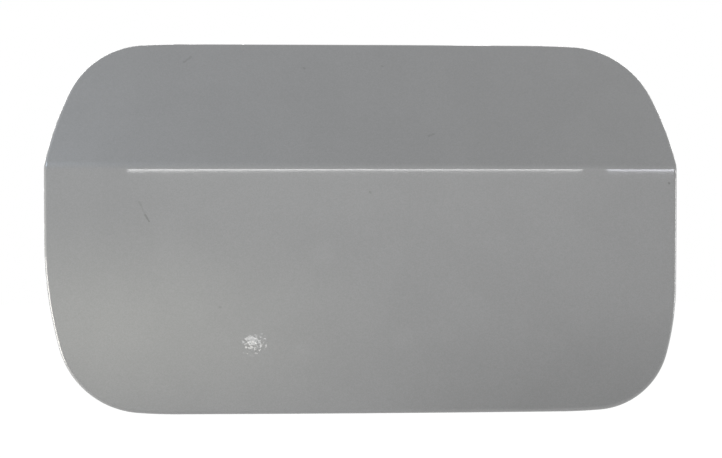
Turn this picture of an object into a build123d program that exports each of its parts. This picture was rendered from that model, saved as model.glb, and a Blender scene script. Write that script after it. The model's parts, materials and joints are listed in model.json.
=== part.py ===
from build123d import *
from math import asin, atan2, cos, degrees, radians, sin, tan
import os

# A car fuel door with its hinge, drawn closed, in millimetres and degrees.
# x runs right and z up as seen from outside the car, and the outside faces -y.
# While it is drawn, x = 0 is mid width, z = 0 the crease and y = 0 the crown of the lower face.

# Outline seen square on; each corner is three tangent arcs
DOOR_WIDTH = 200.0
UPPER_HEIGHT = 42.3
LOWER_HEIGHT = 78.7
SIDE_LEAD_TURN = 14.9
EDGE_LEAD_TURN = 4.4
EDGE_LEAD_RADIUS = 160.0
UPPER_LEFT_LEAD = 106.5
UPPER_LEFT_RADIUS = 23.6
UPPER_RIGHT_LEAD = 96.5
UPPER_RIGHT_RADIUS = 24.9
LOWER_LEFT_LEAD = 130.5
LOWER_LEFT_RADIUS = 27.4
LOWER_RIGHT_LEAD = 86.5
LOWER_RIGHT_RADIUS = 23.8

# Skin surface: crowned both ways, with the upper face leaning in above a soft crease
PLAN_CROWN = 3000.0
LOWER_CROWN = 1600.0
UPPER_CROWN = 700.0
UPPER_LEAN = 36.0
CREASE_RADIUS = 5.0

# Sheet and hem
SHEET = 0.8
HEM_GAP = 0.05
HEM_WIDTH = 7.5
HEM_ROLL = 1.4
HEM_BACK_ROLL = 0.7
HEM_THICK = 3 * SHEET + 2 * HEM_GAP
FLANGE_FRONT = SHEET + HEM_GAP
FLANGE_BACK = FLANGE_FRONT + SHEET

# Inner pressing
PAN_INSET = 12.5
PAN_TOP = -9.0
PAN_CORNER = 9.0
PAN_DEPTH = 9.0
PAN_DRAFT = 25.0
PAN_RIM = 3.0
PAN_ROOT = 2.0
DECK = PAN_DEPTH + SHEET
DECK_Z = (PAN_TOP - LOWER_HEIGHT + PAN_INSET) / 2
UPPER_BEAD_LENGTH = 128.0
UPPER_BEAD_WIDTH = 17.0
UPPER_BEAD_RISE = 3.6
UPPER_BEAD_RIM = 1.5
UPPER_BEAD_PLACE = 0.42
DECK_BEAD_LENGTH = 74.0
DECK_BEAD_WIDTH = 6.5
DECK_BEAD_RISE = 1.8
DECK_BEAD_RIM = 0.9
DECK_BEAD_ROOT = 0.8
DECK_BEAD_X = -20.0
DECK_BEAD_OFFSET = 17.2
DRAIN_RADIUS = 2.5
DRAIN_X = -32.0
DRAIN_OFFSET = 8.0

# Hinge axis, in from the right edge and behind the skin, and its travel
HINGE_INSET = 30.0
HINGE_X = DOOR_WIDTH / 2 - HINGE_INSET
HINGE_Y = 20.0
HINGE_Z = DECK_Z
HINGE_TRAVEL = 95.0

# Hinge pin, bushes, washer and clip
PIN_RADIUS = 2.5
RUNNING_GAP = 0.05
PIN_BORE = PIN_RADIUS + RUNNING_GAP
PIN_HEAD_RADIUS = 3.9
PIN_HEAD = 1.8
PIN_TAIL = 1.6
FACE_GAP = 0.15
BUSH_WALL = 1.0
BUSH_RADIUS = PIN_BORE + BUSH_WALL
BUSH_FLANGE_RADIUS = 6.0
BUSH_FLANGE = 0.8
SEAT_GAP = 0.02
WASHER_RADIUS = 5.4
WASHER = 0.8
CLIP_RADIUS = 4.9
CLIP = 0.8
GROOVE_RADIUS = 1.9
GROOVE_GAP = 0.05
CLIP_MOUTH = 3.4

# Bracket that bolts to the car
PLATE = 2.0
FOLD_INSIDE = 1.0
FOLD_OUTSIDE = FOLD_INSIDE + PLATE
BRACKET_EAR = 17.0
BRACKET_EAR_RADIUS = 6.5
BRACKET_BACK = 48.0
BRACKET_EAR_ROOT = 7.0
FOOT_HEIGHT = 47.0
FOOT_CORNER = 7.0
BOLT_SPACING = 30.0
BOLT_SETBACK = 19.0
BOLT_HOLE_RADIUS = 3.3
FOLD_RELIEF = 1.0
FOOT_WIDTH = 2 * (BOLT_SETBACK - BRACKET_EAR_ROOT - FOLD_RELIEF)

# Leaf on the door
LEAF_EAR_INSIDE = BRACKET_EAR + FACE_GAP + BUSH_FLANGE
LEAF_EAR = LEAF_EAR_INSIDE + PLATE
LEAF_EAR_RADIUS = 7.5
LEAF_RIGHT = 8.0
LEAF_EAR_LEFT = 15.0
LEAF_TONGUE = 41.0
LEAF_TONGUE_HEIGHT = 32.0
LEAF_CORNER = 6.0
LEAF_SCREW_NEAR = 20.5
LEAF_SCREW_FAR = 33.5
LEAF_SCREW_OFFSET = 9.5

# Screws and clinch nuts of the leaf
SCREW_RADIUS = 2.45
SCREW_HOLE = 2.75
SCREW_FLANGE_RADIUS = 5.2
SCREW_FLANGE = 1.0
SCREW_HEX = 7.8
SCREW_HEAD = 3.6
SCREW_SOCKET = 3.9
SCREW_END = 4.2
NUT_RADIUS = 4.6
NUT_HEIGHT = 3.6
NUT_PILOT = 3.3
NUT_BORE = 2.5

# Over-centre spring
WIRE_RADIUS = 0.8
WIRE_HOLE = 1.0
WIRE_BEND = 1.7
SPRING_CRANK = 9.0
SPRING_ANCHOR = 20.0
SPRING_LOBE = 3.2
SPRING_LIFT = 1.5
SPRING_LOOP_RADIUS = 3.5
SPRING_LOOP_OFFSET = 8.0
HOOK_PAST = 0.4
SPRING_Z = HINGE_Z + LEAF_EAR + SPRING_LIFT

# Lock catch
CATCH_INSET = 43.0
CATCH_X = CATCH_INSET - DOOR_WIDTH / 2
CATCH_LENGTH = 35.0
CATCH_HEIGHT = 18.0
CATCH_BASE = 2.5
CATCH_CORNER = 4.0
EYE_THICK = 4.0
EYE_RADIUS = 8.0
EYE_BORE = 4.0
EYE_Y = 27.0
EYE_CHAMFER = 0.6
EYE_ROUND = 0.7
EYE_RIB = 2.0
EYE_RIB_REACH = 6.5
RIVET_SPACING = 24.0
RIVET_RADIUS = 2.0
RIVET_HOLE = 2.05
RIVET_HEAD_RADIUS = 4.0
RIVET_HEAD = 1.3
RIVET_TAIL_RADIUS = 2.9
RIVET_TAIL = 3.0

# Rubber buffers
BUFFER_INSET = 28.0
BUFFER_X = BUFFER_INSET - DOOR_WIDTH / 2
BUFFER_OFFSET = 17.0
BUFFER_RADIUS = 5.5
BUFFER_HEAD = 4.5
BUFFER_ROUND = 1.6
BUFFER_NECK = 2.5
BUFFER_HOLE = 2.55
BUFFER_BARB = 3.5
BUFFER_BARB_LENGTH = 4.0

# Cap holder
HOLDER_X = 0.0
HOLDER_WIDTH = 40.0
HOLDER_HEIGHT = 25.0
HOLDER_BASE = 2.0
HOLDER_CORNER = 4.0
HOLDER_ROUND = 0.7
RAIL_SLOT = 13.0
RAIL_MOUTH = 8.0
RAIL_WALL = 2.2
RAIL_RISE = 10.0
RAIL_LIP = 1.8
HOLDER_SCREW_SPACING = 29.0
HOLDER_SCREW_RADIUS = 1.8
HOLDER_SCREW_HOLE = 1.9
HOLDER_SCREW_HEAD_RADIUS = 3.6
HOLDER_SCREW_HEAD = 2.2
HOLDER_SCREW_END = 5.5
CROSS_LENGTH = 3.6
CROSS_WIDTH = 0.9
CROSS_DEPTH = 1.2

# Allowances for trimming tools and the frame, whose origin is the middle of the bolt pattern
SPARE = 6.0
REACH = 70.0
MOUNT = (HINGE_X - BOLT_SETBACK, BRACKET_BACK, HINGE_Z)


def corner_reach(lead, radius):
    """How far a corner reaches along the top or bottom edge, and along the side."""
    side, edge = radians(SIDE_LEAD_TURN), radians(EDGE_LEAD_TURN)
    across = lead * (1 - cos(side)) + radius * (cos(side) - sin(edge)) + EDGE_LEAD_RADIUS * sin(edge)
    along = lead * sin(side) + radius * (cos(edge) - sin(side)) + EDGE_LEAD_RADIUS * (1 - cos(edge))
    return across, along


def corner_arcs(start, heading, lead, radius, side_first):
    """Lead-in, corner and lead-out arcs, all turning right."""
    arcs = [(lead, SIDE_LEAD_TURN), (radius, 90 - SIDE_LEAD_TURN - EDGE_LEAD_TURN)]
    arcs.append((EDGE_LEAD_RADIUS, EDGE_LEAD_TURN))
    edges = []
    for size, turn in arcs if side_first else reversed(arcs):
        edges.append(JernArc(start, heading, size, -turn))
        start, heading = edges[-1] @ 1, edges[-1] % 1
    return edges


def door_outline():
    """Closed outline of the door, drawn as x and z."""
    half = DOOR_WIDTH / 2
    upper_left = corner_reach(UPPER_LEFT_LEAD, UPPER_LEFT_RADIUS)
    upper_right = corner_reach(UPPER_RIGHT_LEAD, UPPER_RIGHT_RADIUS)
    lower_right = corner_reach(LOWER_RIGHT_LEAD, LOWER_RIGHT_RADIUS)
    lower_left = corner_reach(LOWER_LEFT_LEAD, LOWER_LEFT_RADIUS)
    left = Line((-half, -LOWER_HEIGHT + lower_left[1]), (-half, UPPER_HEIGHT - upper_left[1]))
    top = Line((-half + upper_left[0], UPPER_HEIGHT), (half - upper_right[0], UPPER_HEIGHT))
    right = Line((half, UPPER_HEIGHT - upper_right[1]), (half, -LOWER_HEIGHT + lower_right[1]))
    bottom = Line((half - lower_right[0], -LOWER_HEIGHT), (-half + lower_left[0], -LOWER_HEIGHT))
    edges = [left, top, right, bottom]
    edges += corner_arcs(left @ 1, left % 1, UPPER_LEFT_LEAD, UPPER_LEFT_RADIUS, True)
    edges += corner_arcs(top @ 1, top % 1, UPPER_RIGHT_LEAD, UPPER_RIGHT_RADIUS, False)
    edges += corner_arcs(right @ 1, right % 1, LOWER_RIGHT_LEAD, LOWER_RIGHT_RADIUS, True)
    edges += corner_arcs(bottom @ 1, bottom % 1, LOWER_LEFT_LEAD, LOWER_LEFT_RADIUS, False)
    return make_face(edges)


def facing(y):
    """Plane at a depth y whose drawing axes are x and z and whose normal points into the car."""
    return Plane((0, y, 0), x_dir=(1, 0, 0), z_dir=(0, -1, 0))


def inward(sketch, y, length, taper=0.0):
    """Extrude a drawing of x and z into the car from depth y."""
    return extrude(facing(y) * sketch, -length, taper=taper)


def prism(sketch):
    return inward(sketch, -SPARE * 2, REACH)


def section_arcs(depth):
    """Lower face, crease and upper face at a depth below the outer surface, drawn as y and z."""
    middle = -LOWER_HEIGHT / 2
    first = asin((middle - SPARE) / LOWER_CROWN)
    setback = CREASE_RADIUS * tan(radians(UPPER_LEAN / 2))
    crease_start = degrees(asin((-middle - setback) / LOWER_CROWN))
    upper_turn = degrees(UPPER_HEIGHT / cos(radians(UPPER_LEAN)) / UPPER_CROWN)
    crease_end = UPPER_LEAN - upper_turn / 2
    radius = LOWER_CROWN - depth
    start = (LOWER_CROWN - radius * cos(first), middle + radius * sin(first))
    lower = JernArc(start, (sin(first), cos(first)), radius, degrees(first) - crease_start)
    crease = JernArc(lower @ 1, lower % 1, CREASE_RADIUS - depth, crease_start - crease_end)
    upper = JernArc(crease @ 1, crease % 1, UPPER_CROWN - depth, -1.15 * upper_turn)
    return [lower, crease, upper]


def skin_slab(front, back):
    """Sheet between two depths below the outer surface, larger than the door."""
    outer = section_arcs(front)
    inner = section_arcs(back)
    ends = [Line(outer[0] @ 0, inner[0] @ 0), Line(outer[-1] @ 1, inner[-1] @ 1)]
    axis = Axis((0, PLAN_CROWN, 0), (0, 0, 1))
    half_turn = degrees((DOOR_WIDTH / 2 + SPARE) / PLAN_CROWN)
    section = Plane.YZ * make_face(outer + inner + ends)
    return revolve(section.rotate(axis, -half_turn), axis, 2 * half_turn)


def rim_edges(body, side):
    """Edges round the front (-1) or back (1) face of a trimmed slab, without the crease lines."""
    faces = body.faces().filter_by(lambda face: face.normal_at().Y * side > 0.5)
    return faces.edges().filter_by(lambda edge: edge.length < 0.9 * DOOR_WIDTH)


def outer_panel():
    """Creased skin with its edge folded back round the inner panel."""
    outline = door_outline()
    skin = skin_slab(0, HEM_THICK) & prism(outline)
    skin = fillet(rim_edges(skin, -1), HEM_ROLL)
    skin = fillet(rim_edges(skin, 1), HEM_BACK_ROLL)
    skin -= skin_slab(SHEET, HEM_THICK - SHEET) & prism(offset(outline, -SHEET))
    return skin - (skin_slab(SHEET, HEM_THICK + SPARE) & prism(offset(outline, -HEM_WIDTH)))


def pressing(plane, footprint, depth, rim):
    """Outer and inner form of a drafted pressing that rises from a plane along its normal."""
    wall = SHEET / cos(radians(PAN_DRAFT))
    outer = extrude(plane * footprint, depth, taper=PAN_DRAFT)
    inner = extrude(plane * offset(footprint, -wall), depth - SHEET, taper=PAN_DRAFT)
    level = Axis(plane.origin, plane.z_dir)
    outer = fillet(outer.faces().sort_by(level)[-1].edges(), rim)
    return outer, fillet(inner.faces().sort_by(level)[-1].edges(), max(rim - SHEET, SHEET / 4))


def raised(body, form, root):
    """Join a pressing's outer form to a body, rounded where they meet."""
    joined = body + form
    return fillet(new_edges(body, form, combined=joined), root)


def pan_footprint(outline):
    """Outline of the pan at the skin, drawn as x and z: the door's lower part, set in."""
    keep = Pos(0, PAN_TOP - DOOR_WIDTH / 2) * Rectangle(DOOR_WIDTH, DOOR_WIDTH)
    pan = offset(outline, -PAN_INSET) & keep
    return fillet(pan.vertices().group_by(Axis.Y)[-1], PAN_CORNER)


def inner_panel():
    """Flange clamped in the hem, a drafted pan over the lower face and a bead over the upper."""
    outline = door_outline()
    into_car = Plane((0, 0, 0), x_dir=(-1, 0, 0), z_dir=(0, 1, 0))
    pan = mirror(pan_footprint(outline), about=Plane.YZ)
    pan_outer, pan_inner = pressing(into_car, pan, DECK, PAN_RIM)
    upper = section_arcs(FLANGE_BACK)[2]
    place, slope = upper @ UPPER_BEAD_PLACE, upper % UPPER_BEAD_PLACE
    sunk = SPARE / 2
    lean = Plane((0, place.X, place.Y), x_dir=(-1, 0, 0), z_dir=(0, slope.Y, -slope.X)).offset(-sunk)
    bead = SlotOverall(UPPER_BEAD_LENGTH, UPPER_BEAD_WIDTH)
    bead_outer, bead_inner = pressing(lean, bead, UPPER_BEAD_RISE + sunk, UPPER_BEAD_RIM)
    block = skin_slab(-SPARE, FLANGE_BACK) & prism(offset(outline, -SHEET - 2 * HEM_GAP))
    panel = raised(raised(block, pan_outer, PAN_ROOT), bead_outer, PAN_ROOT)
    hollows = [pan_inner, bead_inner]
    rib = SlotOverall(DECK_BEAD_LENGTH, DECK_BEAD_WIDTH)
    for side in (-1, 1):
        deck = into_car.offset(PAN_DEPTH) * Pos(-DECK_BEAD_X, DECK_Z + side * DECK_BEAD_OFFSET)
        rib_outer, rib_inner = pressing(Plane(deck), rib, DECK_BEAD_RISE + SHEET, DECK_BEAD_RIM)
        panel = raised(panel, rib_outer, DECK_BEAD_ROOT)
        hollows.append(rib_inner)
    for hollow in hollows:
        panel -= hollow
    return panel - skin_slab(-REACH, FLANGE_FRONT) - deck_holes()


def across(x, z, radius, start, length):
    """Round bar along y."""
    return inward(Pos(x, z) * Circle(radius), start, length)


def leaf_screw_places():
    near = HINGE_X - LEAF_SCREW_NEAR
    far = (HINGE_X - LEAF_SCREW_FAR, HINGE_Z)
    return [(near, HINGE_Z + LEAF_SCREW_OFFSET), (near, HINGE_Z - LEAF_SCREW_OFFSET), far]


def rivet_places():
    return [(CATCH_X + side * RIVET_SPACING / 2, DECK_Z) for side in (-1, 1)]


def holder_screw_places():
    return [(HOLDER_X + side * HOLDER_SCREW_SPACING / 2, DECK_Z) for side in (-1, 1)]


def deck_holes():
    """Fixing and drain holes of the inner panel."""
    start, length = PAN_DEPTH - SHEET, 3 * SHEET
    holes = [across(x, z, NUT_PILOT + SEAT_GAP, start, length) for x, z in leaf_screw_places()]
    holes += [across(x, z, RIVET_HOLE, start, length) for x, z in rivet_places()]
    holes += [across(x, z, HOLDER_SCREW_HOLE, start, length) for x, z in holder_screw_places()]
    for side in (-1, 1):
        holes.append(across(BUFFER_X, DECK_Z + side * BUFFER_OFFSET, BUFFER_HOLE, start, length))
        holes.append(across(DRAIN_X, DECK_Z + side * DRAIN_OFFSET, DRAIN_RADIUS, start, length))
    return holes


def folded(body, level, front, back):
    """Round both bends where ears fold up from a plate, at the ears' inner and outer faces."""
    for y, z, radius in ((front, level - PLATE, FOLD_INSIDE), (back, level, FOLD_OUTSIDE)):
        lines = body.edges().filter_by(Axis.X).filter_by(lambda edge: abs(edge.center().Y - y) < 0.01)
        bends = lines.filter_by(lambda edge: abs(abs(edge.center().Z - HINGE_Z) - z) < 0.01)
        body = fillet(bends, radius)
    return body


def ear(outline, top):
    """Ear plate drawn as x and y, with its upper face at height top."""
    return Pos(0, 0, top - PLATE) * extrude(outline, PLATE)


def spring_crank():
    """Moving spring anchor from the hinge axis, door closed."""
    angle = radians(HINGE_TRAVEL / 2)
    return SPRING_CRANK * sin(angle), SPRING_CRANK * cos(angle)


def hinge_leaf():
    """Plate on the inner panel with two ears folded up round the hinge axis."""
    back = DECK + PLATE
    right = HINGE_X + LEAF_RIGHT
    wide = LEAF_RIGHT + LEAF_EAR_LEFT
    plate = Pos(right - wide / 2, HINGE_Z) * Rectangle(wide, 2 * LEAF_EAR)
    tongue_width = LEAF_TONGUE + LEAF_RIGHT
    tongue = Rectangle(tongue_width, LEAF_TONGUE_HEIGHT)
    tongue = fillet(tongue.vertices().group_by(Axis.X)[0], LEAF_CORNER)
    plate += Pos(right - tongue_width / 2, HINGE_Z) * tongue
    leaf = inward(plate, DECK, PLATE)
    pivot = Pos(HINGE_X, HINGE_Y) * Circle(LEAF_EAR_RADIUS)
    foot = Pos(right - wide / 2, DECK + PLATE) * Rectangle(wide, 2 * PLATE)
    arm = make_hull((pivot + foot).edges())
    arm = arm & (Pos(right - wide / 2, DECK + REACH / 2) * Rectangle(wide, REACH)) + pivot
    lobe_x, lobe_y = spring_crank()
    lobe = Pos(HINGE_X + lobe_x, HINGE_Y + lobe_y) * Circle(SPRING_LOBE)
    upper = arm + make_hull((pivot + lobe).edges())
    leaf += ear(upper, HINGE_Z + LEAF_EAR)
    leaf += ear(arm, HINGE_Z - LEAF_EAR_INSIDE)
    leaf = folded(leaf, LEAF_EAR, back, DECK)
    leaf -= Pos(HINGE_X, HINGE_Y, HINGE_Z) * Cylinder(BUSH_RADIUS + SEAT_GAP, 3 * LEAF_EAR)
    leaf -= Pos(HINGE_X + lobe_x, HINGE_Y + lobe_y, HINGE_Z + LEAF_EAR) * Cylinder(WIRE_HOLE, 3 * PLATE)
    for x, z in leaf_screw_places():
        leaf -= across(x, z, SCREW_HOLE, 0, REACH)
    return leaf


def hinge_bracket():
    """Foot that bolts to the car, with two ears folded forward to the hinge axis."""
    front = BRACKET_BACK - PLATE
    right = HINGE_X + BRACKET_EAR_ROOT
    root = Pos(HINGE_X, HINGE_Z) * Rectangle(2 * BRACKET_EAR_ROOT, 2 * BRACKET_EAR)
    foot = fillet(Rectangle(FOOT_WIDTH, FOOT_HEIGHT).vertices(), FOOT_CORNER)
    foot = Pos(HINGE_X - BOLT_SETBACK, HINGE_Z) * foot
    neck = Pos((right + HINGE_X - BOLT_SETBACK) / 2, HINGE_Z)
    neck = neck * Rectangle(right - HINGE_X + BOLT_SETBACK, 2 * (BRACKET_EAR - FOLD_OUTSIDE))
    bracket = inward(root + foot + neck, front, PLATE)
    pivot = Pos(HINGE_X, HINGE_Y) * Circle(BRACKET_EAR_RADIUS)
    base = Pos(HINGE_X, BRACKET_BACK - PLATE) * Rectangle(2 * BRACKET_EAR_ROOT, 2 * PLATE)
    arm = make_hull((pivot + base).edges())
    bracket += ear(arm, HINGE_Z + BRACKET_EAR)
    bracket += ear(arm, HINGE_Z - BRACKET_EAR + PLATE)
    bracket = folded(bracket, BRACKET_EAR, front, BRACKET_BACK)
    bracket -= Pos(HINGE_X, HINGE_Y, HINGE_Z) * Cylinder(PIN_BORE, 3 * BRACKET_EAR)
    anchor = Pos(HINGE_X, HINGE_Y + SPRING_ANCHOR, HINGE_Z + BRACKET_EAR)
    bracket -= anchor * Cylinder(WIRE_HOLE, 3 * PLATE)
    for side in (-1, 1):
        z = HINGE_Z + side * BOLT_SPACING / 2
        bracket -= across(HINGE_X - BOLT_SETBACK, z, BOLT_HOLE_RADIUS, 0, REACH)
    return bracket


def turned(points, axis_point, axis_dir, x_dir):
    """Revolve a profile of radius and height pairs about an axis."""
    plane = Plane(axis_point, x_dir=x_dir, z_dir=Vector(*x_dir).cross(Vector(*axis_dir)))
    profile = make_face(Polyline(*points, close=True))
    return revolve(plane * profile, Axis(axis_point, axis_dir))


def upright(points, z):
    """Turn a profile about the hinge axis, heights from z upward."""
    return turned(points, (HINGE_X, HINGE_Y, z), (0, 0, 1), (1, 0, 0))


def rearward(points, x, y, z):
    """Turn a profile about a line along y, heights from y into the car."""
    return turned(points, (x, y, z), (0, 1, 0), (1, 0, 0))


def clip_top():
    """Height of the clip's upper face."""
    return HINGE_Z - LEAF_EAR - 2 * FACE_GAP - WASHER


def hinge_pin():
    """Headed pin, grooved near its lower end for the clip."""
    seat = HINGE_Z + LEAF_EAR + FACE_GAP
    upper = clip_top() + GROOVE_GAP
    lower = clip_top() - CLIP - GROOVE_GAP
    end = lower - PIN_TAIL
    bevel = PIN_RADIUS / 5
    crown = PIN_HEAD_RADIUS / 4
    points = [(0, end), (PIN_RADIUS - bevel, end), (PIN_RADIUS, end + bevel), (PIN_RADIUS, lower)]
    points += [(GROOVE_RADIUS, lower), (GROOVE_RADIUS, upper), (PIN_RADIUS, upper), (PIN_RADIUS, seat)]
    points += [(PIN_HEAD_RADIUS, seat), (PIN_HEAD_RADIUS, seat + PIN_HEAD - crown)]
    points += [(PIN_HEAD_RADIUS - crown, seat + PIN_HEAD), (0, seat + PIN_HEAD)]
    return upright(points, 0)


def bush(side):
    """Flanged bush seated in a leaf ear from the bracket side."""
    flange = LEAF_EAR_INSIDE - BUSH_FLANGE
    points = [(PIN_BORE, flange), (BUSH_FLANGE_RADIUS, flange), (BUSH_FLANGE_RADIUS, LEAF_EAR_INSIDE)]
    points += [(BUSH_RADIUS, LEAF_EAR_INSIDE), (BUSH_RADIUS, LEAF_EAR), (PIN_BORE, LEAF_EAR)]
    return upright([(radius, side * height) for radius, height in points], HINGE_Z)


def pin_washer():
    top = HINGE_Z - LEAF_EAR - FACE_GAP
    ring = Circle(WASHER_RADIUS) - Circle(PIN_BORE)
    return Pos(HINGE_X, HINGE_Y, top - WASHER) * extrude(ring, WASHER)


def pin_clip():
    """E-clip: a ring open on one side, with two notches that leave three teeth on the groove."""
    bite = GROOVE_RADIUS + GROOVE_GAP
    ring = Circle(CLIP_RADIUS) - Circle(bite)
    ring -= Pos(0, -CLIP_RADIUS) * Rectangle(CLIP_MOUTH, 2 * CLIP_RADIUS)
    notch = bite + (CLIP_RADIUS - bite) / 2
    for turn in (35, 145):
        spot = (notch * cos(radians(turn)) * 0.8, notch * sin(radians(turn)) * 0.8)
        ring -= Pos(*spot) * Circle(CLIP_RADIUS / 5)
    return Pos(HINGE_X, HINGE_Y, clip_top() - CLIP) * extrude(ring, CLIP)


def hinge_screw(x, z):
    """Flanged hexagon screw with a socket, driven into its clinch nut."""
    seat = DECK + PLATE
    hexagon = Pos(x, z) * RegularPolygon(SCREW_HEX / 2, 6, major_radius=False)
    screw = across(x, z, SCREW_RADIUS, SCREW_END, seat - SCREW_END)
    screw += across(x, z, SCREW_FLANGE_RADIUS, seat, SCREW_FLANGE)
    screw += inward(hexagon, seat, SCREW_HEAD)
    recess = Pos(x, z) * RegularPolygon(SCREW_SOCKET / 2, 6, major_radius=False)
    return screw - inward(recess, seat + SCREW_HEAD / 3, SCREW_HEAD)


def clinch_nut(x, z):
    """Nut pressed into the inner panel from the front, its pilot filling the hole."""
    nut = across(x, z, NUT_RADIUS, PAN_DEPTH - SEAT_GAP - NUT_HEIGHT, NUT_HEIGHT)
    nut += across(x, z, NUT_PILOT, PAN_DEPTH - SEAT_GAP, SHEET)
    return nut - across(x, z, NUT_BORE, 0, REACH)


def spring_path():
    """Centreline: down-turned hooks at both anchors, legs tangent to one loop."""
    crank_x, crank_y = spring_crank()
    a = Vector(HINGE_X + crank_x, HINGE_Y + crank_y)
    b = Vector(HINGE_X, HINGE_Y + SPRING_ANCHOR)
    along = (a - b).normalized()
    side = Vector(along.Y, -along.X)
    loop = (a + b) * 0.5 + side * SPRING_LOOP_OFFSET
    reach = (a - loop).length
    touch = atan2((a - b).length / 2, SPRING_LOOP_OFFSET) - asin(SPRING_LOOP_RADIUS / reach)
    out = sin(touch) * SPRING_LOOP_RADIUS
    wide = cos(touch) * SPRING_LOOP_RADIUS
    from_a = loop + along * wide + side * out
    from_b = loop - along * wide + side * out
    far = loop + side * SPRING_LOOP_RADIUS
    lift = Vector(0, 0, SPRING_Z)
    legs = []
    for anchor, touch_point, low in ((a, from_a, LEAF_EAR_INSIDE), (b, from_b, BRACKET_EAR - PLATE)):
        heading = (touch_point - anchor).normalized()
        turn_end = anchor + heading * WIRE_BEND + lift
        turn_start = anchor + lift - Vector(0, 0, WIRE_BEND)
        tip = anchor + Vector(0, 0, HINGE_Z + low - HOOK_PAST)
        hook = Line(tip, turn_start)
        bend = TangentArc(turn_start, turn_end, tangent=(0, 0, 1))
        legs.append([hook, bend, Line(turn_end, touch_point + lift)])
    arc = ThreePointArc(from_a + lift, far + lift, from_b + lift)
    return Wire(legs[0] + [arc] + legs[1])


def over_centre_spring():
    path = spring_path()
    start = path @ 0
    return sweep(Plane(start, z_dir=path % 0) * Circle(WIRE_RADIUS), path)


def lock_catch():
    """Moulded eye on a riveted foot; the lock pin passes through it along x."""
    foot = fillet(Rectangle(CATCH_LENGTH, CATCH_HEIGHT).vertices(), CATCH_CORNER)
    catch = inward(Pos(CATCH_X, DECK_Z) * foot, DECK, CATCH_BASE)
    catch = fillet(catch.faces().sort_by(Axis.Y)[-1].edges(), EYE_ROUND)
    stem = Pos((DECK + EYE_Y) / 2, DECK_Z) * Rectangle(EYE_Y - DECK, 2 * EYE_RADIUS)
    blade = stem + Pos(EYE_Y, DECK_Z) * Circle(EYE_RADIUS)
    eye_plane = Plane((CATCH_X - EYE_THICK / 2, 0, 0), x_dir=(0, 1, 0), z_dir=(1, 0, 0))
    blade = extrude(eye_plane * blade, EYE_THICK)
    catch += fillet(blade.faces().filter_by(Axis.X).edges(), EYE_ROUND)
    half = EYE_THICK / 2 + EYE_RIB_REACH
    top = EYE_Y - EYE_BORE - 2 * EYE_CHAMFER
    web = Polyline((-half, DECK + CATCH_BASE), (half, DECK + CATCH_BASE), (0, top), close=True)
    web = extrude(Pos(CATCH_X, 0) * make_face(web), EYE_RIB)
    for side in (-1, 1):
        catch += Pos(0, 0, DECK_Z + side * EYE_RADIUS / 2 - EYE_RIB / 2) * web
    bore = Pos(EYE_Y, DECK_Z) * Circle(EYE_BORE)
    catch -= extrude(eye_plane.offset(-EYE_THICK) * bore, 3 * EYE_THICK)
    mouths = catch.edges().filter_by(GeomType.CIRCLE)
    catch = chamfer(mouths.filter_by(lambda edge: abs(edge.radius - EYE_BORE) < 0.01), EYE_CHAMFER)
    for x, z in rivet_places():
        catch -= across(x, z, RIVET_HOLE, 0, DECK + CATCH_BASE + SHEET)
    return catch


def catch_rivet(x, z):
    """Blind rivet: domed head on the catch, set tail behind the panel."""
    seat = DECK + CATCH_BASE
    tail = PAN_DEPTH - SEAT_GAP
    shoulder = RIVET_HEAD_RADIUS * 0.7
    points = [(0, tail - RIVET_TAIL), (RIVET_RADIUS, tail - RIVET_TAIL)]
    points += [(RIVET_TAIL_RADIUS, tail - RIVET_TAIL * 0.6), (RIVET_TAIL_RADIUS, tail)]
    points += [(RIVET_RADIUS, tail), (RIVET_RADIUS, seat + SEAT_GAP), (RIVET_HEAD_RADIUS, seat + SEAT_GAP)]
    points += [(shoulder, seat + RIVET_HEAD * 0.8), (RIVET_RADIUS / 2, seat + RIVET_HEAD)]
    points += [(RIVET_RADIUS / 2, seat), (0, seat)]
    return rearward(points, x, 0, z)


def buffer(side):
    """Rubber stop: round head, neck through the panel, barbed tip behind it."""
    seat = DECK + SEAT_GAP
    tail = PAN_DEPTH - SEAT_GAP
    points = [(0, tail - BUFFER_BARB_LENGTH), (BUFFER_BARB * 0.5, tail - BUFFER_BARB_LENGTH)]
    points += [(BUFFER_BARB, tail - BUFFER_BARB_LENGTH / 4), (BUFFER_BARB, tail), (BUFFER_NECK, tail)]
    points += [(BUFFER_NECK, seat), (BUFFER_RADIUS, seat), (BUFFER_RADIUS, seat + BUFFER_HEAD)]
    points += [(0, seat + BUFFER_HEAD)]
    stop = rearward(points, BUFFER_X, 0, DECK_Z + side * BUFFER_OFFSET)
    return fillet(stop.faces().sort_by(Axis.Y)[-1].edges(), BUFFER_ROUND)


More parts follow.
